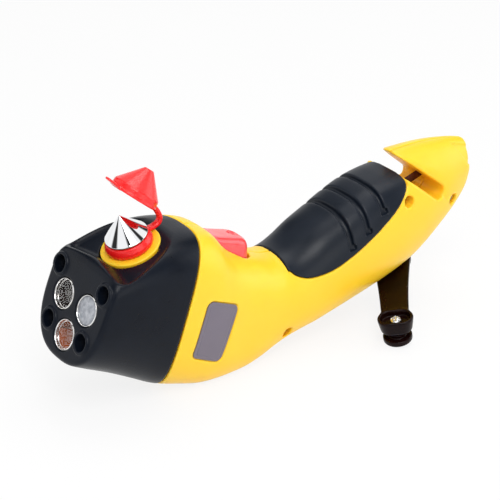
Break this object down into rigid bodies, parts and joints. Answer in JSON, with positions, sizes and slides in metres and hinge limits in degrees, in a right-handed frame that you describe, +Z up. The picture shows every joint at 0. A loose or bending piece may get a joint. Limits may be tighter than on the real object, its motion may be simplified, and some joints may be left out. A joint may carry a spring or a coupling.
{
  "type": "hand crank flashlight",
  "caption": "Hand cranked emergency flashlight: lamp head with capped hammer tip, hooked belt cutter tail, ribbed grip, thumb switch, magnet foot and crank under the belly.",
  "frame": {"origin": "centre of the magnet's face in the flat foot under the head", "axes": "+X from the head to the hooked tail, +Z up from the foot, -Y is the side with the screw wells and the label plate"},
  "size_m": [0.1905, 0.0574, 0.0849],
  "materials": {
    "yellow_shell": "semi-gloss moulded yellow ABS",
    "black_cover": "satin black moulded plastic",
    "grip": "satin black soft grip",
    "crank_plastic": "glossy black moulded plastic",
    "red_plastic": "glossy soft red plastic",
    "switch_red": "lighter red, slightly translucent plastic",
    "label": "satin grey plate, bare",
    "chrome_tip": "polished bright",
    "screw_steel": "plated steel",
    "lens_clear": "clear",
    "reflector_bright": "vacuum-metallised bright",
    "led_epoxy": "clear to milky epoxy",
    "board": "green laminate",
    "bush_brass": "turned",
    "gear_plastic": "natural white plastic",
    "ferrite": "sintered dark grey ferrite",
    "copper_wire": "enamelled copper winding",
    "battery_sleeve": "shrink sleeve",
    "lead_sleeve": "insulated wire"
  },
  "bodies": {
    "body": {"near_shell": "yellow_shell", "far_shell": "yellow_shell", "hammer_collar": "yellow_shell", "head_cover": "black_cover", "grip_cover": "grip", "switch_module": "crank_plastic", "cap_ring": "red_plastic", "cap_strap": "red_plastic", "label_plate": "label", "hammer_tip": "chrome_tip", "body_screw_1": "screw_steel", "body_screw_2": "screw_steel", "body_screw_3": "screw_steel", "head_screw_upper_far": "screw_steel", "head_screw_upper_near": "screw_steel", "head_screw_lower_far": "screw_steel", "head_screw_lower_near": "screw_steel", "arbor_1": "screw_steel", "arbor_2": "screw_steel", "dynamo_can": "screw_steel", "cutter_blade": "screw_steel", "lens_far": "lens_clear", "lens_near": "lens_clear", "lens_lower": "lens_clear", "reflector_far": "reflector_bright", "reflector_near": "reflector_bright", "reflector_lower": "reflector_bright", "led_far": "led_epoxy", "led_near": "led_epoxy", "led_lower": "led_epoxy", "lamp_board": "board", "charge_board": "board", "shaft_bush": "bush_brass", "gear_plate": "gear_plastic", "foot_magnet": "ferrite", "dynamo_coil": "copper_wire", "battery_pack": "battery_sleeve", "lamp_lead": "lead_sleeve", "dynamo_lead": "lead_sleeve"},
    "crank": {"crank_shaft": "screw_steel", "crank_gear": "gear_plastic", "crank_arm": "crank_plastic", "hub_screw": "screw_steel", "knob_screw": "screw_steel"},
    "knob": {"crank_knob": "crank_plastic"},
    "idler_1": {"idler_gear_1": "gear_plastic"},
    "idler_2": {"idler_gear_2": "gear_plastic"},
    "rotor": {"dynamo_rotor": "ferrite"},
    "switch": {"thumb_switch": "switch_red"},
    "cap": {"safety_cap": "red_plastic"}
  },
  "joints": [
    {"name": "crank_turn", "type": "hinge", "parent": "body", "child": "crank", "pos_m": [0.088, 0, 0.0189], "axis": [-0.2453, 0, 0.9694], "continuous": true},
    {"name": "knob_spin", "type": "hinge", "parent": "crank", "child": "knob", "pos_m": [0.0641, -0.03022, 0.01285], "axis": [-0.2453, 0, 0.9694], "continuous": true},
    {"name": "idler_turn_1", "type": "hinge", "parent": "body", "child": "idler_1", "pos_m": [0.07637, 0, 0.01596], "axis": [-0.2453, 0, 0.9694], "continuous": true},
    {"name": "idler_turn_2", "type": "hinge", "parent": "body", "child": "idler_2", "pos_m": [0.0659, 0, 0.01331], "axis": [-0.2453, 0, 0.9694], "continuous": true},
    {"name": "rotor_turn", "type": "hinge", "parent": "body", "child": "rotor", "pos_m": [0.05543, 0, 0.01066], "axis": [-0.2453, 0, 0.9694], "continuous": true},
    {"name": "switch_press", "type": "hinge", "parent": "body", "child": "switch", "pos_m": [-0.0038, 0, 0.052], "axis": [0, 1, 0], "range_deg": [0, 5], "stiffness_Nm_per_rad": 0.25, "springref_deg": -2.86},
    {"name": "cap_hinge", "type": "hinge", "parent": "body", "child": "cap", "pos_m": [-0.02469, 0, 0.0663], "axis": [0, 1, 0], "range_deg": [-58.7, 0], "deforming": ["cap_strap"]}
  ],
  "couplings": [
    {"joint": "idler_turn_1", "follows": "crank_turn", "ratio": -4},
    {"joint": "idler_turn_2", "follows": "crank_turn", "ratio": 14},
    {"joint": "rotor_turn", "follows": "crank_turn", "ratio": -49}
  ]
}
